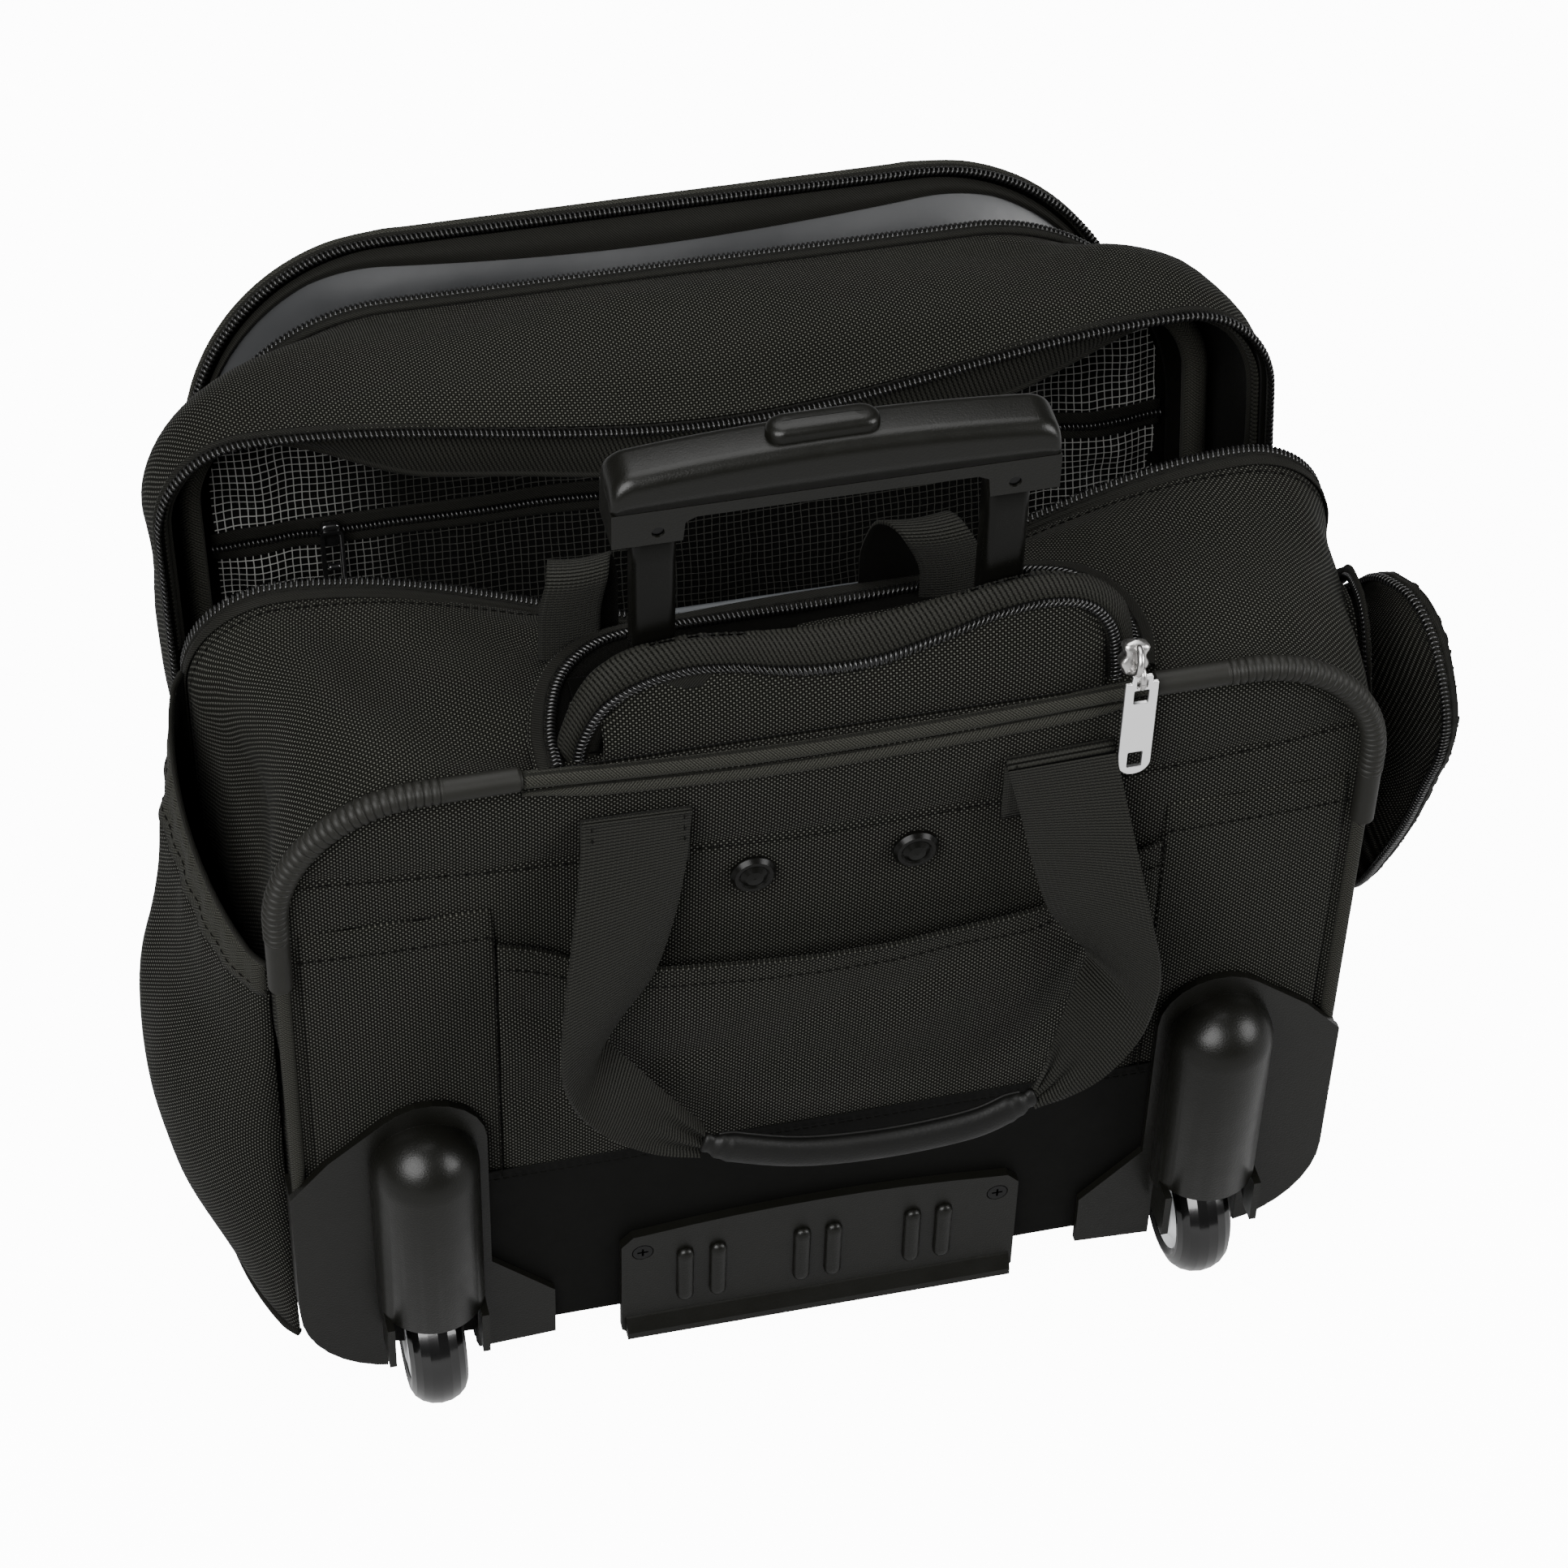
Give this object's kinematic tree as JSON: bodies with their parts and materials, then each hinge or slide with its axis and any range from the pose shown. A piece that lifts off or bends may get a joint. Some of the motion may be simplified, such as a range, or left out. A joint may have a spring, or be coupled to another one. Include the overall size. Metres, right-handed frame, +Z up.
{
  "type": "rolling laptop case",
  "caption": "Soft black wheeled laptop case with a telescopic trolley handle, carry strap, zipped front and side pockets, open bottle pocket, corner guards and recessed wheels.",
  "frame": {"origin": "on the floor, at the centre of the flat underside of the front stand, in the middle of the case's width", "axes": "+Z up; +Y from the back panel with the trolley handle and wheels towards the front pocket; +X to the right seen from the wheel side"},
  "size_m": [0.5346, 0.376, 0.489],
  "materials": {
    "ballistic_nylon": "1680D ballistic nylon, charcoal black, satin",
    "binding_tape": "twill binding tape and zip tape, matt black",
    "webbing": "ribbed nylon webbing, matt black",
    "lining": "coated polyester lining, grey satin",
    "sleeve_foam": "padded sleeve, blue grey",
    "smooth_panel": "smooth black laminated sheet",
    "stiff_board": "polyethylene stiffener board",
    "moulded_plastic": "fine textured moulded nylon, black",
    "guard_rubber": "ribbed moulded rubber, dark grey",
    "tube_black": "black anodised aluminium tube",
    "tube_bare": "extruded aluminium tube",
    "steel": "zinc plated steel",
    "chrome_pull": "satin chromed die cast zinc",
    "tyre_rubber": "gloss black polyurethane",
    "hub_silver": "silver wheel centre",
    "mesh_vinyl": "clear vinyl with a woven white grid",
    "handle_leather": "black grained leather wrap"
  },
  "bodies": {
    "case_back": {"rear_shell": "ballistic_nylon", "back_stiffener": "stiff_board", "rear_lining": "lining", "base_board": "stiff_board", "bottom_panel": "ballistic_nylon", "lower_panel": "smooth_panel", "back_piping": "binding_tape", "corner_guard_left": "guard_rubber", "corner_guard_right": "guard_rubber", "wheel_housing_left": "moulded_plastic", "wheel_housing_right": "moulded_plastic", "housing_screws": "steel", "axles": "steel", "kick_plate": "moulded_plastic", "kick_plate_screws": "steel", "slip_pocket": "ballistic_nylon", "snap_studs": "moulded_plastic", "strap_anchors": "webbing", "handle_cup": "moulded_plastic", "outer_tubes": "tube_bare", "trolley_base": "moulded_plastic", "main_zipper_rear": "binding_tape", "main_zip_sliders": "chrome_pull", "side_pocket_left": "ballistic_nylon", "side_zipper_inner": "binding_tape", "laptop_sleeve": "sleeve_foam", "front_stand": "moulded_plastic", "handle_zipper_rear": "binding_tape", "handle_zip_slider": "chrome_pull"},
    "lower_stage": {"lower_tubes": "tube_black"},
    "upper_stage": {"upper_tubes": "tube_black"},
    "trolley_grip": {"inner_tubes": "tube_black", "grip_upper": "moulded_plastic", "grip_lower": "moulded_plastic", "grip_screws": "steel", "button_springs": "steel"},
    "release_button": {"push_button": "moulded_plastic", "release_linkage": "moulded_plastic"},
    "left_wheel": {"tyre_left": "tyre_rubber", "hub_left": "hub_silver", "bearings_left": "steel"},
    "right_wheel": {"tyre_right": "tyre_rubber", "hub_right": "hub_silver", "bearings_right": "steel"},
    "front_half": {"front_shell": "ballistic_nylon", "mesh_pocket": "mesh_vinyl", "mesh_zipper": "binding_tape", "main_zipper_front": "binding_tape", "front_zipper_inner": "binding_tape"},
    "mesh_slider": {"mesh_zip_slider": "moulded_plastic"},
    "mesh_tab": {"mesh_zip_pull": "moulded_plastic"},
    "front_pocket": {"front_panel": "ballistic_nylon", "front_zipper_outer": "binding_tape"},
    "handle_cover": {"handle_flap": "ballistic_nylon", "handle_flap_zipper": "binding_tape"},
    "silver_pull": {"zip_pull": "chrome_pull"},
    "side_pocket_panel": {"side_panel_right": "ballistic_nylon", "side_zipper_outer": "binding_tape"},
    "carry_handle": {"carry_webbing": "webbing", "carry_grip": "handle_leather"}
  },
  "joints": [
    {"name": "lower_stage_slide", "type": "slide", "parent": "case_back", "child": "lower_stage", "axis": [0, 0, 1], "range_m": [0, 0.2]},
    {"name": "upper_stage_slide", "type": "slide", "parent": "lower_stage", "child": "upper_stage", "axis": [0, 0, 1], "range_m": [0, 0.2]},
    {"name": "grip_slide", "type": "slide", "parent": "upper_stage", "child": "trolley_grip", "axis": [0, 0, 1], "range_m": [-0.133, 0.075]},
    {"name": "button_press", "type": "slide", "parent": "trolley_grip", "child": "release_button", "axis": [0, 0, -1], "range_m": [0, 0.004], "stiffness_N_per_m": 900, "springref_m": -0.002, "deforming": ["button_springs"]},
    {"name": "left_wheel_spin", "type": "hinge", "parent": "case_back", "child": "left_wheel", "pos_m": [-0.165, -0.169, 0.0325], "axis": [1, 0, 0], "continuous": true},
    {"name": "right_wheel_spin", "type": "hinge", "parent": "case_back", "child": "right_wheel", "pos_m": [0.165, -0.169, 0.0325], "axis": [1, 0, 0], "continuous": true},
    {"name": "front_half_tip", "type": "hinge", "parent": "case_back", "child": "front_half", "pos_m": [0, 0.02, 0.034], "axis": [-1, 0, 0], "range_deg": [-12.8, 42]},
    {"name": "front_pocket_tip", "type": "hinge", "parent": "front_half", "child": "front_pocket", "pos_m": [0, 0.04065, 0.04366], "axis": [-1, 0, 0], "range_deg": [-9.6, 25]},
    {"name": "mesh_slider_run", "type": "slide", "parent": "front_half", "child": "mesh_slider", "axis": [1, 0, 0], "range_m": [-0.02, 0.31]},
    {"name": "mesh_tab_swing", "type": "hinge", "parent": "mesh_slider", "child": "mesh_tab", "pos_m": [-0.1565, 0.07368, 0.26484], "axis": [-1, 0, 0], "range_deg": [0, 100]},
    {"name": "handle_cover_flip", "type": "hinge", "parent": "case_back", "child": "handle_cover", "pos_m": [0, -0.1675, 0.3586], "axis": [-1, 0, 0], "range_deg": [-88, 8]},
    {"name": "silver_pull_swing", "type": "hinge", "parent": "case_back", "child": "silver_pull", "pos_m": [0.1143, -0.1796, 0.368], "axis": [1, 0, 0], "range_deg": [-150, 0]},
    {"name": "side_pocket_swing", "type": "hinge", "parent": "case_back", "child": "side_pocket_panel", "pos_m": [0.2345, -0.06, 0.228], "axis": [0, 0, 1], "range_deg": [-25, 36]},
    {"name": "carry_handle_swing", "type": "hinge", "parent": "case_back", "child": "carry_handle", "pos_m": [0, -0.1756, 0.315], "axis": [-1, 0, 0], "range_deg": [0, 150]}
  ]
}
